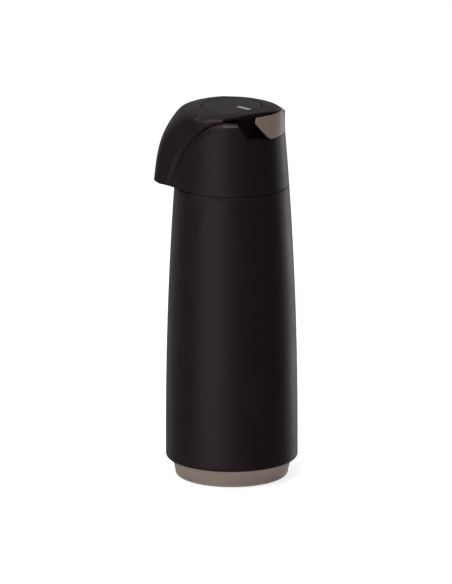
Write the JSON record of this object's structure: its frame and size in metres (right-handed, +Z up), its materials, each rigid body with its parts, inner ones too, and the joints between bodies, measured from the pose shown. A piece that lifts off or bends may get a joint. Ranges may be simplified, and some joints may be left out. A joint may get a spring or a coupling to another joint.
{
  "type": "pump airpot",
  "caption": "Slim glass-lined pump airpot: tapered casing on a base cup, screw-on pump head with spout, press button that twists to lock, rear grip.",
  "frame": {"origin": "centre of the underside of the base cup, on the casing's axis", "axes": "+Z up along the casing's axis, -Y towards the spout, +Y towards the rear grip, +X the side the pointer bar leans to"},
  "size_m": [0.1168, 0.1271, 0.3365],
  "materials": {
    "black_plastic": "fine matte moulded polypropylene, warm black",
    "taupe_plastic": "satin moulded polypropylene, taupe",
    "natural_plastic": "satin natural polypropylene",
    "dark_rubber": "matte rubber",
    "clear_rubber": "translucent silicone",
    "silvered_glass": "silvered vacuum glass",
    "steel": "bright steel",
    "grey_inlay": "satin light grey inlay"
  },
  "bodies": {
    "base": {"base_cup": "taupe_plastic", "foot_ring": "dark_rubber", "flask_cushion": "clear_rubber"},
    "casing": {"outer_casing": "black_plastic", "shoulder_collar": "black_plastic", "neck_cushion": "clear_rubber", "flask_outer_glass": "silvered_glass", "flask_inner_glass": "silvered_glass", "flask_spacer_1": "clear_rubber", "flask_spacer_2": "clear_rubber", "flask_spacer_3": "clear_rubber"},
    "seal": {"head_gasket": "clear_rubber"},
    "head": {"head_shell": "black_plastic", "hood": "black_plastic", "rear_grip": "taupe_plastic", "head_underplate": "black_plastic", "spout_nozzle": "black_plastic", "outlet_pipe": "natural_plastic", "valve_housing": "natural_plastic", "dip_tube": "natural_plastic", "pump_plate": "natural_plastic", "head_screw_1": "steel", "head_screw_2": "steel", "head_screw_3": "steel", "head_screw_4": "steel", "bellows": "clear_rubber", "return_spring": "steel"},
    "ball": {"check_ball": "steel"},
    "sleeve": {"lock_sleeve": "natural_plastic"},
    "button": {"press_button": "black_plastic", "pointer_bar": "grey_inlay", "bellows_cap": "natural_plastic"},
    "intake_valve": {"intake_valve_disc": "clear_rubber"}
  },
  "joints": [
    {"name": "base_twist", "type": "hinge", "parent": "base", "child": "casing", "pos_m": [0, 0, 0.018], "axis": [0, 0, 1], "range_deg": [0, 30]},
    {"name": "head_rise", "type": "slide", "parent": "casing", "child": "seal", "axis": [0, 0, 1], "range_m": [0, 0.006]},
    {"name": "head_unscrew", "type": "hinge", "parent": "seal", "child": "head", "pos_m": [0, 0, 0.268], "axis": [0, 0, 1], "range_deg": [0, 360]},
    {"name": "ball_lift", "type": "slide", "parent": "head", "child": "ball", "axis": [0, 0, 1], "range_m": [0, 0.003]},
    {"name": "lock_twist", "type": "hinge", "parent": "head", "child": "sleeve", "pos_m": [0, 0, 0.336], "axis": [0, 0, 1], "range_deg": [0, 90]},
    {"name": "pump_press", "type": "slide", "parent": "sleeve", "child": "button", "axis": [0, 0, -1], "range_m": [0, 0.016], "stiffness_N_per_m": 500, "springref_m": -0.012, "deforming": ["bellows", "return_spring"]},
    {"name": "intake_valve_lift", "type": "slide", "parent": "button", "child": "intake_valve", "axis": [0, 0, 1], "range_m": [0, 0.0015]}
  ],
  "couplings": [
    {"joint": "head_rise", "follows": "head_unscrew", "m_per_rad": 0.00095493}
  ]
}
